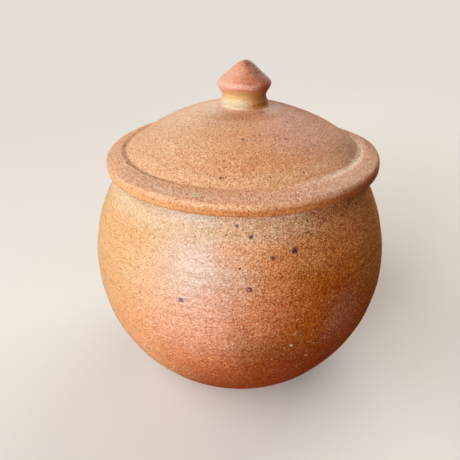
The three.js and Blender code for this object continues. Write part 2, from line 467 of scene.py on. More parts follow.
sunk = domed_lid.vertex_groups.new(name="sunk_side")
for vertex in domed_lid.data.vertices:
    across = vertex.co.x / MM - LID_SHIFT
    along = vertex.co.y / MM
    radius = math.hypot(across, along)
    azimuth = math.degrees(math.atan2(across, -along)) % 360
    side = soft_step(azimuth, SINK_FROM, SINK_FULL) * soft_step(azimuth, SINK_TO, SINK_FADING)
    faces_up = vertex.normal.z > LEAST_UP
    start, end = (STILL_RADIUS, MOUTH_RADIUS) if faces_up else (MOUTH_RADIUS, BRIM_RADIUS)
    share = side * min(1.0, (radius - start) / (end - start))
    if share > 0:
        sunk.add([vertex.index], share, "REPLACE")
print("full depth from", SINK_FULL, "to", SINK_FADING, "degrees round the lid")

# %% One side of the lid sinks
SINK_DEPTH = 1.2

bpy.ops.object.select_all(action="DESELECT")
domed_lid.select_set(True)
bpy.context.view_layer.objects.active = domed_lid
bpy.ops.object.modifier_add(type="DISPLACE")
sinking = domed_lid.modifiers[-1]
sinking.direction = "Z"
sinking.mid_level = 0
sinking.strength = -SINK_DEPTH * MM
sinking.vertex_group = sunk.name
bpy.ops.object.modifier_apply(modifier=sinking.name)
lowest = min(vertex.co.z for vertex in domed_lid.data.vertices if vertex.co.x > MOUTH_RADIUS * MM)
print("the brim on the right now comes down to", round(lowest / MM, 2), "mm")

# %% [markdown]
# All three pieces wear the same clay, so one set of helpers serves them. Colours are written as sRGB hex
# codes, the way a colour picker shows them, and turned to the linear values that Blender's sockets take.
# One function adds a node: it sets the node's options, links the sockets that it is given, types in the
# plain values, and gives back one output, so that nodes can be written one after the other.

# %% Colours and nodes
def linear(code):
    """An sRGB hex colour as Blender's linear colour."""
    parts = [int(code[i:i + 2], 16) / 255 for i in (1, 3, 5)]
    return tuple(p / 12.92 if p <= 0.04045 else ((p + 0.055) / 1.055) ** 2.4 for p in parts) + (1.0,)


def add(tree, kind, sockets, give=0, **options):
    """Adds a node, sets its options, links or fills its sockets, and gives back one of its outputs."""
    node = tree.nodes.new("ShaderNode" + kind)
    for option, value in options.items():
        setattr(node, option, value)
    for socket, value in sockets.items():
        if isinstance(value, bpy.types.NodeSocket):
            tree.links.new(value, node.inputs[socket])
        else:
            node.inputs[socket].default_value = value
    return node.outputs[give]


UNDER, OVER, MIXED = 6, 7, 2  # a Mix node's two colours, and its mixed colour
print("middle grey is", round(linear("#808080")[0], 3), "in linear light")

# %% [markdown]
# A clay material starts from the place on the piece, in millimetres, so that every pattern below can be
# given at its real size. Object coordinates stay with the piece when it moves. Clay, flame and ash never
# draw a clean edge, so most patterns read a strayed place, which a soft noise has moved about.

# %% A new clay
def new_clay(name):
    """A clay material, its node tree, and the place on the piece in millimetres."""
    clay = bpy.data.materials.new(name)
    clay.use_nodes = True
    tree = clay.node_tree
    metres = add(tree, "TexCoord", {}, "Object")
    place = add(tree, "VectorMath", {0: metres, "Scale": 1 / MM}, operation="SCALE")
    return clay, tree, place


def strayed(tree, place, size, reach):
    """The place, moved about by up to half of reach by a noise whose lumps have that size."""
    noise = add(tree, "TexNoise", {"Vector": place, "Scale": 1 / size, "Detail": 3.0}, "Color")
    centred = add(tree, "VectorMath", {0: noise, 1: (0.5, 0.5, 0.5)}, operation="SUBTRACT")
    return add(tree, "VectorMath", {0: centred, 1: (reach,) * 3, 2: place}, operation="MULTIPLY_ADD")


print("clay nodes ready")

# %% [markdown]
# The flame leaves soft clouds of colour. Each one is a ball of influence round a point on the surface: full
# strength at the point and none at its reach. Because the pieces are round, a place is given as a potter
# would point at it: an angle round the pot, from the front towards the right, and a height or a radius.

# %% Places on the pieces
def around(azimuth, radius, height, axis_x):
    """A point in mm at that angle round an upright axis, 0 at the front and 90 at the right."""
    turn = math.radians(azimuth)
    return (axis_x + radius * math.sin(turn), -radius * math.cos(turn), height)


def on_jar(azimuth, height):
    """A point on the outside of the jar."""
    reach = UPPER_REACH if height > BELLY_HEIGHT else LOWER_REACH
    share = (height - BELLY_HEIGHT) / reach
    return around(azimuth, BELLY_RADIUS * math.sqrt(1 - share * share), height, 0)


def on_dome(azimuth, radius):
    """A point on the dome of the lid."""
    rise = DOME_CENTRE + math.sqrt(DOME_RADIUS**2 - radius**2)
    return around(azimuth, radius, SEAT_HEIGHT + rise, LID_SHIFT)


def on_brim(azimuth, radius, rise):
    """A point on the brim of the lid, with the rise measured from the seat."""
    return around(azimuth, radius, SEAT_HEIGHT + rise, LID_SHIFT)


def on_knob(azimuth, height):
    """A point on the knob, with the height measured from its foot."""
    steps = zip(knob_section[1:], knob_section[2:])
    below, above = [pair for pair in steps if pair[0][1] <= height <= pair[1][1]][0]
    share = (height - below[1]) / (above[1] - below[1])
    radius = below[0] + (above[0] - below[0]) * share
    return around(azimuth, radius, KNOB_SEAT + height, LID_SHIFT + KNOB_SHIFT)


print("front of the belly", [round(v, 1) for v in on_jar(0, BELLY_HEIGHT)])

# %% [markdown]
# Clouds are laid over each other like washes of paint. Each cloud also brings its own roughness, because
# where the flame carried ash and soda the surface melted a little and turned satin. One cloud doesn't blur
# into the next: each grain of sand took the flame or didn't. So a fine noise, the stipple, makes every
# grain a little nearer to the cloud's middle or further from it than it is.

# %% Flame clouds
CLOUD_CORE = 0.2  # share of the reach that has full strength
STIPPLE = 0.25  # share of the distance that a grain may seem nearer or further
STIPPLE_SIZE = 0.5


def flame_clouds(tree, place, colour, gloss, clouds, lumps, stray):
    """Washes of flame colour, each given as point, reach, tone, roughness and strength.

    Their edges wander by up to half of stray, in lumps of that size.
    """
    ragged = strayed(tree, place, lumps, stray)
    noise = add(tree, "TexNoise", {"Vector": place, "Scale": 1 / STIPPLE_SIZE, "Detail": 2.0})
    stipple = add(tree, "MapRange", {"Value": noise, "To Min": 1 - STIPPLE, "To Max": 1 + STIPPLE})
    for point, reach, tone, rough, strength in clouds:
        far = add(tree, "VectorMath", {0: ragged, 1: point}, "Value", operation="DISTANCE")
        far = add(tree, "Math", {0: far, 1: stipple}, operation="MULTIPLY")
        fade = {"Value": far, "From Min": reach, "From Max": CLOUD_CORE * reach, "To Max": strength}
        cover = add(tree, "MapRange", fade, interpolation_type="SMOOTHSTEP")
        wash = {0: cover, UNDER: colour, OVER: linear(tone)}
        colour = add(tree, "Mix", wash, MIXED, data_type="RGBA")
        gloss = add(tree, "Mix", {0: cover, 2: gloss, 3: rough})
    return colour, gloss


print("a grain may seem", STIPPLE, "of its distance nearer to a cloud")

# %% [markdown]
# Some colour follows the wheel: the pale strip that the brim shaded from the flame, lightened further as
# painted light against the brim's own shadow, the rust along the edge of the lid, the ash in the groove with
# painted light and shade on its walls, painted shade at the foot of the dome, and painted highlights along
# the lid's edge and the knob's ridge. Such a band is a ring round the wheel's axis, given by its radius and
# height, and it may run round only a part of the pot. It is found by the distance in the half-section.

# %% Bands round the wheel
BAND_LUMPS = 5.0
BAND_STRAY = 1.2
BAND_CORE = 0.3  # share of the reach that has full strength


def wheel_bands(tree, place, colour, gloss, bands, axis_x, base):
    """Bands given as radius, height over base, reach, azimuth, half spread, tone, roughness and strength."""
    wavy = strayed(tree, place, BAND_LUMPS, BAND_STRAY)
    centred = add(tree, "VectorMath", {0: wavy, 1: (axis_x, 0, 0)}, operation="SUBTRACT")
    flat = add(tree, "VectorMath", {0: centred, 1: (1, 1, 0)}, operation="MULTIPLY")
    height = add(tree, "SeparateXYZ", {0: centred}, "Z")
    radius = add(tree, "VectorMath", {0: flat}, "Value", operation="LENGTH")
    section = add(tree, "CombineXYZ", {"X": radius, "Y": height})
    facing = add(tree, "VectorMath", {0: flat}, operation="NORMALIZE")
    for ring, rise, reach, azimuth, spread, tone, rough, strength in bands:
        middle = (ring, base + rise, 0)
        far = add(tree, "VectorMath", {0: section, 1: middle}, "Value", operation="DISTANCE")
        fade = {"Value": far, "From Min": reach, "From Max": BAND_CORE * reach, "To Max": strength}
        near = add(tree, "MapRange", fade, interpolation_type="SMOOTHSTEP")
        way = around(azimuth, 1, 0, 0)
        side = add(tree, "VectorMath", {0: facing, 1: way}, "Value", operation="DOT_PRODUCT")
        fade = {"Value": side, "From Min": math.cos(math.radians(spread)), "From Max": 1.0, "To Max": near}
        cover = add(tree, "MapRange", fade, interpolation_type="SMOOTHSTEP")
        wash = {0: cover, UNDER: colour, OVER: linear(tone)}
        colour = add(tree, "Mix", wash, MIXED, data_type="RGBA")
        gloss = add(tree, "Mix", {0: cover, 2: gloss, 3: rough})
    return colour, gloss


print("bands stray by", BAND_STRAY / 2, "mm at most")

# %% [markdown]
# A few grains were large enough to melt and bleed: iron into dark blots, feldspar into pale ones. Each is
# placed one by one, because the eye finds them first. They are small and ragged, and fullest in the middle.

# %% Single spots
SPOT_LUMPS = 0.7
SPOT_STRAY = 0.7
SPOT_CORE = 0.3  # share of the radius that has full strength


def melted_spots(tree, place, colour, spots):
    """Spots given as point, radius, tone and strength."""
    ragged = strayed(tree, place, SPOT_LUMPS, SPOT_STRAY)
    for point, size, tone, strength in spots:
        far = add(tree, "VectorMath", {0: ragged, 1: point}, "Value", operation="DISTANCE")
        fade = {"Value": far, "From Min": size, "From Max": SPOT_CORE * size, "To Max": strength}
        cover = add(tree, "MapRange", fade, interpolation_type="SMOOTHSTEP")
        wash = {0: cover, UNDER: colour, OVER: linear(tone)}
        colour = add(tree, "Mix", wash, MIXED, data_type="RGBA")
    return colour


print("spots stray by", SPOT_STRAY / 2, "mm at most")

# %% [markdown]
# Close up, the fired clay is coarse sandpaper: sand of two sizes in a finer paste, small dark pits where
# sand fell out or iron bled, and pale grains of feldspar. Pits and grains are the cells of a Voronoi
# pattern, of which only some are kept: each cell has a random colour, and one channel of it decides. Each
# kind of grain also has a home, where it is thickest.

# %% Scattered grains
HOME_PART = 3  # a home has full strength within a third of its reach
GRAINS = {  # spacing, size, share of the cells, strength and tone
    "pits": (0.75, 0.28, 0.8, 0.8, "#80320A"),
    "pale": (1.2, 0.37, 0.5, 1.0, "#F4CA94"),
    "iron": (4.0, 0.4, 0.3, 0.9, "#432A20"),
}


def scattered(tree, place, spacing, size, kept, home, reach, least):
    """A mask of dots of that size, in a share of the cells, thickest round home and least elsewhere."""
    far = add(tree, "TexVoronoi", {"Vector": place, "Scale": 1 / spacing}, "Distance")
    lot = add(tree, "SeparateXYZ", {0: far.node.outputs["Color"]}, "X")
    away = add(tree, "VectorMath", {0: place, 1: home}, "Value", operation="DISTANCE")
    core = reach / HOME_PART
    fade = {"Value": away, "From Min": reach, "From Max": core, "To Min": least * kept, "To Max": kept}
    share = add(tree, "MapRange", fade, interpolation_type="SMOOTHSTEP")
    chosen = add(tree, "MapRange", {"Value": lot, "From Min": share, "From Max": 0.0})
    edge = {"Value": far, "From Min": size / spacing, "From Max": size / spacing / 2, "To Max": chosen}
    return add(tree, "MapRange", edge, interpolation_type="SMOOTHSTEP")


print("scattered grains:", {kind: str(grain[1]) + " mm" for kind, grain in GRAINS.items()})

# %% [markdown]
# The sand itself is two Voronoi patterns, fine and coarse. Each cell is rounded like a grain and draws a lot
# that decides how light it is and how far it stands out. The lot is squared for its lightness, because most
# grains are dark and few are bright. A noise breaks the sand up, and another noise, stretched round the
# wheel, gives the faint lines that sand draws under the potter's rib.

# %% Sand
FINE_SAND = 0.46
COARSE_SAND = 1.0
PASTE_SIZE = 0.6
MOTTLE_SIZE = 5.0
LINE_SPACING = 1.6
LINE_LENGTH = 60.0
FLATNESS = 1.4  # the rib drew the sand out round the wheel
GRAIN_EDGE = 0.7  # share of a cell that its grain fills
LOT_POWER = 2.0


def sand(tree, place):
    """Lots from 0 to 1 that tint sand and paste, and the rises that lift them."""
    paste = add(tree, "TexNoise", {"Vector": place, "Scale": 1 / PASTE_SIZE, "Detail": 3.0, "Roughness": 0.7})
    mottle = add(tree, "TexNoise", {"Vector": place, "Scale": 1 / MOTTLE_SIZE, "Detail": 3.0})
    stretch = {"Vector": place, "Scale": (1 / LINE_LENGTH, 1 / LINE_LENGTH, 1 / LINE_SPACING)}
    lines = add(tree, "TexNoise", {"Vector": add(tree, "Mapping", stretch), "Scale": 1.0, "Detail": 2.0})
    lots = {"paste": paste, "mottle": mottle, "lines": lines}
    rises = {"paste": paste}
    flat = add(tree, "VectorMath", {0: place, 1: (1, 1, FLATNESS)}, operation="MULTIPLY")
    for kind, size in (("fine", FINE_SAND), ("coarse", COARSE_SAND)):
        far = add(tree, "TexVoronoi", {"Vector": flat, "Scale": 1 / size}, "Distance")
        lot = add(tree, "SeparateXYZ", {0: far.node.outputs["Color"]}, "Y")
        lots[kind] = add(tree, "Math", {0: lot, 1: LOT_POWER}, operation="POWER")
        edge = {"Value": far, "From Min": GRAIN_EDGE, "From Max": 0.0}
        dot = add(tree, "MapRange", edge, interpolation_type="SMOOTHSTEP")
        centred = add(tree, "Math", {0: lot, 1: 0.5}, operation="SUBTRACT")
        rises[kind] = add(tree, "Math", {0: centred, 1: dot}, operation="MULTIPLY")
    return lots, rises


print("the fine sand is", FINE_SAND, "mm wide")

# %% [markdown]
# The lots darken and lighten the clay, so that the grain doesn't vanish where the light falls straight on
# it. Round a plain home on the side that faces the lamps the tint is fainter, and it grows away from there:
# painted shade of the grain's relief, as grazing light would show it. The scattered grains lie on top.

# %% Colour of the grain
TINTS = {"fine": 1.05, "coarse": 0.1, "paste": 0.3, "mottle": 0.08, "lines": 0.4}
MEANS = {"fine": 0.33, "coarse": 0.33, "paste": 0.5, "mottle": 0.5, "lines": 0.5}
TINT_COLOUR = (0.5, 1.0, 1.35)  # dark grains are redder than pale ones


def grain_colour(tree, place, colour, lots, covers, plain):
    """The clay's colour, tinted by the lots and covered by the scattered grains."""
    tint = -sum(TINTS[kind] * MEANS[kind] for kind in lots)
    for kind, lot in lots.items():
        tint = add(tree, "Math", {0: lot, 1: TINTS[kind], 2: tint}, operation="MULTIPLY_ADD")
    # the tint is least round the plain home on the lamps' side and most away from it: painted shade of the
    # relief
    point, reach, least, most = plain
    away = add(tree, "VectorMath", {0: place, 1: point}, "Value", operation="DISTANCE")
    core = reach / HOME_PART
    fade = {"Value": away, "From Min": core, "From Max": reach, "To Min": least, "To Max": most}
    contrast = add(tree, "MapRange", fade, interpolation_type="SMOOTHSTEP")
    tint = add(tree, "Math", {0: tint, 1: contrast}, operation="MULTIPLY")
    shade = add(tree, "VectorMath", {0: tint, 1: TINT_COLOUR, 2: (1, 1, 1)}, operation="MULTIPLY_ADD")
    colour = add(tree, "VectorMath", {0: colour, 1: shade}, operation="MULTIPLY")
    for kind, cover in covers.items():
        strength, tone = GRAINS[kind][3:]
        part = add(tree, "Math", {0: cover, 1: strength}, operation="MULTIPLY")
        colour = add(tree, "Mix", {0: part, UNDER: colour, OVER: linear(tone)}, MIXED, data_type="RGBA")
    return colour


print("tints", TINTS)

# %% [markdown]
# Sand this fine is too small for a mesh of this size, so its height is bump. Where the skin melted to satin,
# it filled the gaps between the grains, and the relief is lower. The lines of the rib are wider than a
# grain, and the melt doesn't fill them.

# %% Height of the grain
SAND_HEIGHT = 0.55
HEIGHTS = {"paste": 0.3, "pits": -0.4, "pale": 0.35, "fine": 1.1, "coarse": 0.5, "lines": 0.95}
SATIN, DRY = (0.25, 0.15), (0.7, 1.0)  # roughness, and the share of the relief that is left


def grain_height(tree, gloss, rises, lines):
    """The height of the grain, lower where the skin melted."""
    height = 0.0
    for kind, rise in rises.items():
        height = add(tree, "Math", {0: rise, 1: HEIGHTS[kind], 2: height}, operation="MULTIPLY_ADD")
    melt = {"Value": gloss, "From Min": SATIN[0], "From Max": DRY[0], "To Min": SATIN[1], "To Max": DRY[1]}
    relief = add(tree, "MapRange", melt)
    height = add(tree, "Math", {0: height, 1: relief}, operation="MULTIPLY")
    return add(tree, "Math", {0: lines, 1: HEIGHTS["lines"], 2: height}, operation="MULTIPLY_ADD")


def clay_grain(tree, place, colour, gloss, homes):
    """The clay's colour and height with its sand, pits and grains."""
    lots, rises = sand(tree, place)
    covers = {kind: scattered(tree, place, *GRAINS[kind][:3], *homes[kind]) for kind in GRAINS}
    rises["pits"] = covers["pits"]
    rises["pale"] = covers["pale"]
    height = grain_height(tree, gloss, rises, lots["lines"])
    return grain_colour(tree, place, colour, lots, covers, homes["plain"]), height


print("the grain is up to", SAND_HEIGHT, "mm high")

# %% [markdown]
# The flame never reached the inside of the jar or the hollow of the lid. There the clay stays its own plain
# buff, and it is drier. How deep a place lies under the outer skin tells the two apart: the skin is close to
# a ball or an egg, so the depth is the ball's radius less the distance from its centre.

# %% Bare clay inside
BARE_CLAY = "#CFA27A"
BARE_ROUGHNESS = 0.75
SKIN_DEPTH = (1.2, 3.6)
CLAY_IOR = 1.5
CLAY_SPECULAR = 0.18


def bare_inside(tree, place, colour, gloss, centre, radius, squeeze):
    """Covers what lies under the skin of an egg with bare clay."""
    moved = add(tree, "VectorMath", {0: place, 1: centre}, operation="SUBTRACT")
    ball = add(tree, "VectorMath", {0: moved, 1: (1, 1, squeeze)}, operation="MULTIPLY")
    far = add(tree, "VectorMath", {0: ball}, "Value", operation="LENGTH")
    edge = {"Value": far, "From Min": radius - SKIN_DEPTH[0], "From Max": radius - SKIN_DEPTH[1]}
    cover = add(tree, "MapRange", edge, interpolation_type="SMOOTHSTEP")
    wash = {0: cover, UNDER: colour, OVER: linear(BARE_CLAY)}
    colour = add(tree, "Mix", wash, MIXED, data_type="RGBA")
    return colour, add(tree, "Mix", {0: cover, 2: gloss, 3: BARE_ROUGHNESS})


def fire(clay, colour, gloss, height):
    """Links what was made to the clay's shader."""
    tree = clay.node_tree
    shader = tree.nodes["Principled BSDF"]
    shader.inputs["IOR"].default_value = CLAY_IOR
    shader.inputs["Specular IOR Level"].default_value = CLAY_SPECULAR
    bump = add(tree, "Bump", {"Height": height, "Distance": SAND_HEIGHT * MM, "Strength": 1.0})
    tree.links.new(colour, shader.inputs["Base Color"])
    tree.links.new(gloss, shader.inputs["Roughness"])
    tree.links.new(bump, shader.inputs["Normal"])
    print(clay.name, len(tree.nodes), "nodes")


print("bare clay is", BARE_CLAY, "from", SKIN_DEPTH[1], "mm under the skin")

# %% [markdown]
# The jar is bare stoneware, thrown and fired in the flame. It is dry to the touch where the flame only
# coloured it, and satin where ash melted into it. From the left its colours are pale peach, grey-buff under
# the brim, lightened there with painted light against the brim's shadow, pink in the middle of the front
# with a painted highlight on its satin patch, red-orange low down, burnt orange on the right with one mauve
# cloud, tan at the far right, partly a painted reflection, and tan from there round to the back. Every
# cloud, band and spot is placed one by one.

# %% The jar's surface
JAR_TONE = "#BC6208"
JAR_ROUGHNESS = 0.85
CLOUD_LUMPS = 16.0
CLOUD_STRAY = 14.0

jar_clay, tree, place = new_clay("bare_stoneware_flame_flashed")
jar_clouds = [
    (on_jar(62, 52), 46, "#D06600", 0.85, 0.9),
    (on_jar(12, 20), 42, "#A23A00", 0.95, 0.95),
    (on_jar(-62, 52), 80, "#E3B27C", 0.65, 1.0),
    (on_jar(-33, 30), 33, "#F8B07E", 0.7, 0.9),
    (on_jar(-14, 30), 20, "#F49668", 0.75, 0.8),
    (on_jar(-14, 50), 26, "#EEA98A", 0.45, 0.9),
    (on_jar(-30, 60), 18, "#F0C8A0", 0.5, 0.4),
    (on_jar(-20, 47), 13, "#F8BE9C", 0.6, 0.45),
    (on_jar(0, 14), 30, "#B64C02", 0.9, 0.8),
    (on_jar(10, 52), 15, "#EC9464", 0.7, 0.7),
    # partly a painted highlight: the pale tone stands in for the satin sheen, which is also glossier here
    (on_jar(-13, 66), 21, "#D8BCA8", 0.18, 0.85),
    (on_jar(42, 79), 28, "#E69C60", 0.8, 0.85),
    (on_jar(5, 72), 13, "#F6B68A", 0.65, 0.75),
    # tan on the far right, partly a painted reflection of a warm wall at the grazing edge
    (on_jar(94, 58), 44, "#DA9C5C", 0.8, 0.9),
    (on_jar(-165, 52), 52, "#DC985E", 0.75, 0.8),
    (on_jar(160, 24), 34, "#A04408", 0.9, 0.6),
    (on_jar(22, 69), 11, "#E29A5E", 0.8, 0.4),
    (on_jar(33, 54), 12, "#A84C00", 0.8, 0.4),
    (on_jar(38, 44), 15, "#B47860", 0.7, 0.45),
    (on_jar(56, 56), 16, "#D09040", 0.8, 0.45),
    (on_jar(11, 64), 13, "#EE9E64", 0.75, 0.5),
    (on_jar(22, 48), 14, "#C86200", 0.8, 0.4),
    (on_jar(-26, 31), 13, "#E08446", 0.8, 0.25),
    (on_jar(-11, 31), 11, "#D87838", 0.8, 0.4),
]
jar_bands = [
    # the grey-buff strip under the brim, made paler still as painted light against the brim's shadow
    (41, 78, 12, -28, 74, "#DEC09C", 0.45, 0.95),
    (40, 79, 7, -3, 36, "#EEE2D4", 0.45, 0.9),
    (41.5, 76.5, 6, 12, 26, "#F4BE8C", 0.6, 0.7),
    (52, 53.4, 0.55, -15, 4, "#F6D0B8", 0.4, 0.8),
]
jar_spots = [
    (on_jar(-19, 54.3), 1.7, "#E8D4CC", 0.5),
    (on_jar(-19, 54.3), 1.2, "#6A6478", 0.95),
    (on_jar(19, 68.1), 1.7, "#8A5040", 0.5),
    (on_jar(19, 68.1), 1.15, "#3E2A34", 0.95),
    (on_jar(11, 67.1), 0.95, "#50343A", 0.95),
    (on_jar(3, 59.0), 1.5, "#A87E7C", 0.5),
    (on_jar(3, 59.0), 1.05, "#46303A", 0.95),
    (on_jar(4, 72.6), 1.0, "#54404C", 0.9),
    (on_jar(-1, 75.2), 0.8, "#5A4640", 0.85),
    (on_jar(-16, 72.0), 0.5, "#7A5440", 0.8),
    (on_jar(-43, 67.2), 0.55, "#8A5E3C", 0.8),
    (on_jar(43, 72.9), 0.6, "#4A2C1C", 0.85),
    (on_jar(25, 72.0), 0.55, "#4A2C1C", 0.85),
    (on_jar(34, 52.7), 0.6, "#33201C", 0.9),
    (on_jar(12.3, 76.9), 0.55, "#4E3426", 0.8),
    (on_jar(0, 64.7), 0.5, "#6A3C30", 0.8),
    (on_jar(-2, 49.9), 0.7, "#8A5A58", 0.5),
    (on_jar(49, 70.2), 0.6, "#4A2C1C", 0.8),
    (on_jar(26, 74.7), 0.5, "#4A2C1C", 0.8),
    (on_jar(17, 38.1), 0.75, "#FFEAD4", 0.9),
    (on_jar(18, 42.9), 0.6, "#F6CE96", 0.8),
    (on_jar(18.5, 47.8), 0.6, "#F6CE96", 0.8),
    (on_jar(24, 31.0), 0.7, "#F0C088", 0.7),
]
jar_homes = {
    # plain: fainter grain tint on the lamps' side, stronger away from it, as painted shade of the relief
    "plain": (on_jar(-60, 72), 80, 0.5, 1.5),
    "pits": (on_jar(50, 66), 66, 0.15),
    "pale": (on_jar(20, 34), 50, 0.05),
    "iron": (on_jar(38, 74), 45, 0.1),
}
ground = linear(JAR_TONE)
colour, gloss = flame_clouds(tree, place, ground, JAR_ROUGHNESS, jar_clouds, CLOUD_LUMPS, CLOUD_STRAY)
colour, gloss = wheel_bands(tree, place, colour, gloss, jar_bands, 0, 0)
colour = melted_spots(tree, place, colour, jar_spots)
squeeze = 2 * BELLY_RADIUS / (LOWER_REACH + UPPER_REACH)
colour, gloss = bare_inside(tree, place, colour, gloss, (0, 0, BELLY_HEIGHT), BELLY_RADIUS, squeeze)
colour, height = clay_grain(tree, place, colour, gloss, jar_homes)
fire(jar_clay, colour, gloss, height)

# %% [markdown]
# The lid is the same clay, matt all over. It fired paler on the left and mauve on the right, where it was
# shaded, with a pale halo round the knob; the pale top left of the dome is partly a painted sheen. Its edge
# is rusty below, with a painted highlight along its upper corner. Ash lies in the groove, pale on the right,
# where painted light also brightens the groove's wall, and its left wall carries painted shade. The foot of
# the dome beside the groove on the right is darkened with painted shade.

# %% The lid's surface
LID_TONE = "#E09C6B"
LID_ROUGHNESS = 0.55

lid_clay, tree, place = new_clay("bare_stoneware_flame_flashed_lid")
lid_clouds = [
    (on_dome(-75, 30), 46, "#E2B48E", 0.6, 0.9),
    # pale top left of the dome, partly a painted sheen from grazing light
    (on_dome(-85, 13), 21, "#EEC4A4", 0.6, 0.9),
    (on_dome(112, 18), 25, "#9A5834", 0.6, 0.85),
    (on_dome(50, 20), 21, "#D09A86", 0.6, 0.7),
]
lid_bands = [
    (12.5, 17.2, 4.5, 4, 60, "#BE7A4E", 0.6, 0.6),
    (10.4, 17.8, 3.6, -78, 60, "#E2C8B4", 0.6, 0.6),
    (10.4, 17.8, 3.6, 74, 50, "#D2B6A4", 0.6, 0.65),
    (37.5, 6.2, 5.0, -10, 100, "#E4B086", 0.55, 0.6),
    (43.6, 4.6, 3.6, 25, 130, "#D9A585", 0.6, 0.75),
    (44.0, 4.2, 3.0, -34, 32, "#CCA280", 0.6, 0.6),
    (44.5, 3.8, 3.0, 46, 34, "#E4B698", 0.6, 0.7),
    (43.0, 5.0, 4.0, 104, 34, "#A06C4C", 0.6, 0.7),
    (46.2, 1.2, 2.2, 0, 181, "#DE8E52", 0.55, 0.95),
    (46.2, 0.9, 2.2, -75, 60, "#EEBE78", 0.55, 0.9),
    (46.2, 1.4, 3.4, 72, 60, "#B85E1E", 0.7, 1.0),
    (46.2, 1.4, 2.0, -36, 36, "#ECB07C", 0.5, 0.6),
    # painted highlight: a pale line along the edge's upper corner, which is also glossier
    (45.9, 3.0, 1.0, -12, 70, "#F4C09A", 0.35, 0.6),
    # painted shade on the groove's left wall, which faces away from the lamps
    (40.3, 5.0, 1.1, -70, 60, "#7A5C4C", 0.7, 0.25),
    # painted shade on the dome's foot at the right, beside the groove
    (36.0, 6.8, 6.8, 82, 40, "#8A5E40", 0.6, 0.55),
    (41.0, 5.5, 1.8, 62, 58, "#DCAC92", 0.6, 0.7),
    # pale ash, and painted light on the groove's right wall, which faces the lamps
    (39.6, 5.0, 1.7, 64, 52, "#F0D6C0", 0.65, 0.7),
]
lid_spots = [
    (on_dome(62, 17.9), 0.75, "#4A3028", 0.9),
    (on_dome(46, 18.8), 0.65, "#5A3A30", 0.9),
    (on_dome(0, 24.0), 0.75, "#4A3830", 0.9),
    (on_dome(22, 25.1), 0.5, "#5A3A28", 0.9),
    (on_dome(30, 25.3), 0.6, "#4A3430", 0.9),
    (on_dome(-10, 36.6), 0.65, "#4E3428", 0.9),
    (on_dome(80, 30.0), 0.8, "#6A4430", 0.7),
    (on_dome(69, 36.9), 0.6, "#5A3C2C", 0.8),
    (on_dome(28, 36.4), 0.45, "#5A3A28", 0.8),
    (on_dome(34, 10.6), 1.3, "#7A4E34", 0.6),
    (on_brim(71, 39.6, 5.1), 0.6, "#5A3C2C", 0.8),
    (on_brim(-78, 44.2, 4.2), 0.6, "#6A4430", 0.7),
    (on_brim(-56, 45.8, 2.8), 0.6, "#6A4430", 0.8),
    (on_brim(-85, 40.5, 5.2), 0.8, "#4A342A", 0.8),
    (on_brim(-61, 41.0, 5.4), 0.8, "#4A342A", 0.8),
    (on_brim(-17, 43.5, 4.6), 1.2, "#C6C496", 0.75),
]
lid_homes = {
    # plain: fainter grain tint on the lamps' side, stronger away from it, as painted shade of the relief
    "plain": (on_dome(-60, 10), 40, 0.4, 0.7),
    "pits": (on_dome(0, 30), 36, 0.3),
    "pale": (on_dome(20, 30), 40, 0.2),
    "iron": (on_dome(10, 33), 40, 0.4),
}
ground = linear(LID_TONE)
colour, gloss = flame_clouds(tree, place, ground, LID_ROUGHNESS, lid_clouds, CLOUD_LUMPS, CLOUD_STRAY)
colour, gloss = wheel_bands(tree, place, colour, gloss, lid_bands, LID_SHIFT, SEAT_HEIGHT)
colour = melted_spots(tree, place, colour, lid_spots)
dome_middle = (LID_SHIFT, 0, SEAT_HEIGHT + DOME_CENTRE)
colour, gloss = bare_inside(tree, place, colour, gloss, dome_middle, DOME_RADIUS, 1)
colour, height = clay_grain(tree, place, colour, gloss, lid_homes)
fire(lid_clay, colour, gloss, height)

# %% [markdown]
# The knob stood highest in the flame, where soda and ash melt to a thin glaze. Its cap is salmon with a
# satin skin and a scorched side, and a painted highlight runs along its widest ridge. Cream glaze has run
# down its neck and pooled at its foot.

# %% The knob's surface
KNOB_TONE = "#D4805A"
KNOB_ROUGHNESS = 0.42
KNOB_LUMPS = 3.0
KNOB_STRAY = 3.0

knob_clay, tree, place = new_clay("soda_glazed_stoneware")
knob_clouds = [
    (on_knob(-70, 9), 11, "#EAB294", 0.4, 0.9),
    (on_knob(66, 10.4), 6.5, "#8C6254", 0.55, 0.8),
    (on_knob(40, 13.4), 2.6, "#864A3C", 0.5, 0.8),
    (on_knob(60, 6.0), 6, "#A8502E", 0.5, 0.7),
]
knob_bands = [
    (7.3, 3.4, 3.4, -10, 110, "#E0A86C", 0.32, 0.95),
    (7.3, 3.8, 2.4, -24, 44, "#E6C48A", 0.3, 0.75),
    (8.0, 1.2, 2.8, -38, 74, "#D4C6A4", 0.28, 0.9),
    (7.9, 1.6, 4.2, 52, 44, "#BC7E30", 0.5, 0.8),
    (7.6, 3.0, 4.2, 86, 48, "#AC6A1C", 0.6, 0.95),
    # painted highlight: a pale line along the widest ridge, which is also glossier there
    (8.8, 7.0, 1.3, -16, 60, "#EEB29E", 0.12, 0.9),
]
knob_homes = {
    # plain: fainter grain tint on the lamps' side, stronger away from it, as painted shade of the relief
    "plain": (on_knob(-60, 9), 20, 0.25, 0.7),
    "pits": (on_knob(60, 9), 12, 0.05),
    "pale": (on_knob(64, 10.4), 8, 0.0),
    "iron": (on_knob(60, 9), 8, 0.0),
}
ground = linear(KNOB_TONE)
colour, gloss = flame_clouds(tree, place, ground, KNOB_ROUGHNESS, knob_clouds, KNOB_LUMPS, KNOB_STRAY)
knob_axis = LID_SHIFT + KNOB_SHIFT
colour, gloss = wheel_bands(tree, place, colour, gloss, knob_bands, knob_axis, KNOB_SEAT)
colour, height = clay_grain(tree, place, colour, gloss, knob_homes)
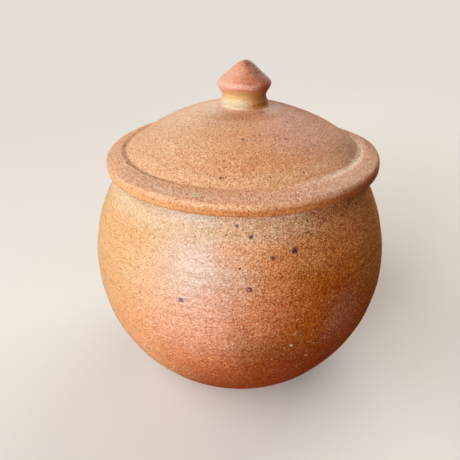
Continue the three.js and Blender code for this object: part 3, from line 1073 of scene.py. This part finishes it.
fire(knob_clay, colour, gloss, height)

# %% [markdown]
# Each new piece takes the place of its CAD node and rides on that node's body. The lid and its knob ride
# on one body, so they lift off together.

# %% Pieces on their bodies
for piece, clay, body, node, finish in (
    (thrown_jar, jar_clay, "jar", "jar_body", "body_stoneware"),
    (domed_lid, lid_clay, "lid", "lid", "lid_stoneware"),
    (pointed_knob, knob_clay, "lid", "lid_knob", "knob_stoneware"),
):
    piece.data.materials.clear()
    piece.data.materials.append(clay)
    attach(piece, body)
    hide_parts(node)
    print(piece.name, "rides on", body)

# %% [markdown]
# The floor is a plain pale sheet that runs far past the picture. From here on, lengths are in metres. Near
# the jar the lamps light the floor, so it keeps the jar's shadow. Further off, where the lamps don't reach,
# its tone is its own, so it stays even into the distance without more light on the jar. That is for the eye
# alone: for the camera, and for what it sees by way of a mirror or through glass. The light that the floor
# throws back on the jar is low and warm.

# %% Floor
FLOOR_RADIUS = 6.0
FLOOR_DROP = 0.0001  # keeps it from sharing a plane with the foot
LIT_WITHIN = 0.15  # near the jar the floor shows the lamps' light and the jar's shadow
EVEN_FROM = 0.55  # from here on it is an even tone
OWN_SHARE = 0.15  # how much of that tone it has near the jar
BACKDROP = "#E4DED7"
PAPER = "#F1ECE6"
WARM_BOUNCE = "#70431F"


def seen_by_eye(tree):
    """1 for rays from the camera, also by way of a mirror or through glass, and 0 for other light."""
    camera_ray = add(tree, "LightPath", {}, "Is Camera Ray")
    glossy_ray = camera_ray.node.outputs["Is Glossy Ray"]
    clear_ray = camera_ray.node.outputs["Is Transmission Ray"]
    seen = add(tree, "Math", {0: camera_ray, 1: glossy_ray}, operation="MAXIMUM")
    return add(tree, "Math", {0: seen, 1: clear_ray}, operation="MAXIMUM")


bpy.ops.object.select_all(action="DESELECT")
bpy.ops.mesh.primitive_circle_add(vertices=64, radius=FLOOR_RADIUS, fill_type="NGON")
floor = bpy.context.object
floor.name = floor.data.name = "pale_floor"
bpy.ops.transform.translate(value=(0, 0, -FLOOR_DROP))

paper = bpy.data.materials.new("matt_pale_paper")
paper.use_nodes = True
tree = paper.node_tree
seen = seen_by_eye(tree)
away = add(tree, "VectorMath", {0: add(tree, "TexCoord", {}, "Object")}, "Value", operation="LENGTH")
fade = {"Value": away, "From Min": LIT_WITHIN, "From Max": EVEN_FROM, "To Min": OWN_SHARE}
own = add(tree, "MapRange", fade, interpolation_type="SMOOTHSTEP")
glow = add(tree, "Emission", {"Color": linear(BACKDROP)})
lit = add(tree, "BsdfDiffuse", {"Color": linear(PAPER)})
pale = add(tree, "MixShader", {0: own, 1: lit, 2: glow})
bounce = add(tree, "BsdfDiffuse", {"Color": linear(WARM_BOUNCE)})
mixed = add(tree, "MixShader", {0: seen, 1: bounce, 2: pale})
tree.links.new(mixed, tree.nodes["Material Output"].inputs["Surface"])
floor.data.materials.append(paper)
print("floor is lit within", LIT_WITHIN, "m and even from", EVEN_FROM, "m")

# %% [markdown]
# The light comes from a window on the left, low enough to rake over the front of the jar. A window is a
# bright pane in a paler wall, so two lamps stand for it: a smaller one that draws the satin highlight, and
# a larger, softer one. A third, from behind on the right, is the room's back wall, which keeps the right
# rim of the lid from sinking into the dark. Area lamps give the soft edges of their shadows.

# %% Lamps
LAMP_DISTANCE = 0.9
AIM_HEIGHT = 0.05  # the lamps look at the middle of the jar


def lamp(name, azimuth, elevation, size, power, colour):
    """An area lamp that looks at the jar from that angle round it and that height over it."""
    turn, rise = math.radians(azimuth), math.radians(elevation)
    way = Vector((math.sin(turn) * math.cos(rise), -math.cos(turn) * math.cos(rise), math.sin(rise)))
    bpy.ops.object.light_add(type="AREA", location=way * LAMP_DISTANCE + Vector((0, 0, AIM_HEIGHT)))
    light = bpy.context.object
    light.name = light.data.name = name
    light.rotation_euler = way.to_track_quat("Z", "Y").to_euler()
    light.data.shape = "RECTANGLE"
    light.data.size, light.data.size_y = size
    light.data.energy = power
    light.data.color = linear(colour)[:3]
    print(name, power, "W")


lamp("window_pane", -32, 12, (0.3, 0.16), 4.7, "#FFFFFF")
lamp("window_wall", -60, 42, (1.1, 0.9), 7.4, "#FFFFFF")
lamp("back_wall", 150, 34, (0.8, 0.5), 5.3, "#FFF7EE")

# %% [markdown]
# The room is the world round it all. The eye sees it as pale as the floor, so that the two run into each
# other. Other light finds it dim and warm, so it only lifts the shadows a little and doesn't wash them out.

# %% Room
ROOM_TONE = "#FFEBD8"
ROOM_LIGHT = 0.06

room = bpy.data.worlds.new("room")
room.use_nodes = True
bpy.context.scene.world = room
tree = room.node_tree
dim = add(tree, "Background", {"Color": linear(ROOM_TONE), "Strength": ROOM_LIGHT})
wall = add(tree, "Background", {"Color": linear(BACKDROP), "Strength": 1.0})
mixed = add(tree, "MixShader", {0: seen_by_eye(tree), 1: dim, 2: wall})
tree.links.new(mixed, tree.nodes["World Output"].inputs["Surface"])
print("the room is", BACKDROP, "to the eye")

# %% [markdown]
# The camera looks down on the jar from close in front, with a lens whose focal length equals the width of
# its picture. The jar stands a little right of the middle, which is a small sideways shift of the lens.
# Colours are shown as they are, with the Standard view.

# %% Camera
CAMERA_PLACE = (0, -0.1537, 0.1365)
LOOK_DOWN = 29.5  # degrees below the level
SENSOR_WIDTH = 36
PICTURE_WIDTH = 460
SIDE_SHIFT = -9.9
NEAREST = 0.01  # the jar is close, so the view starts close

bpy.ops.object.camera_add(location=CAMERA_PLACE, rotation=(math.radians(90 - LOOK_DOWN), 0, 0))
camera = bpy.context.object
camera.data.lens = SENSOR_WIDTH
camera.data.sensor_width = SENSOR_WIDTH
camera.data.shift_x = SIDE_SHIFT / PICTURE_WIDTH
camera.data.clip_start = NEAREST
bpy.context.scene.camera = camera
bpy.context.scene.view_settings.view_transform = "Standard"
print("camera at", [round(v / MM, 1) for v in camera.location], "mm")
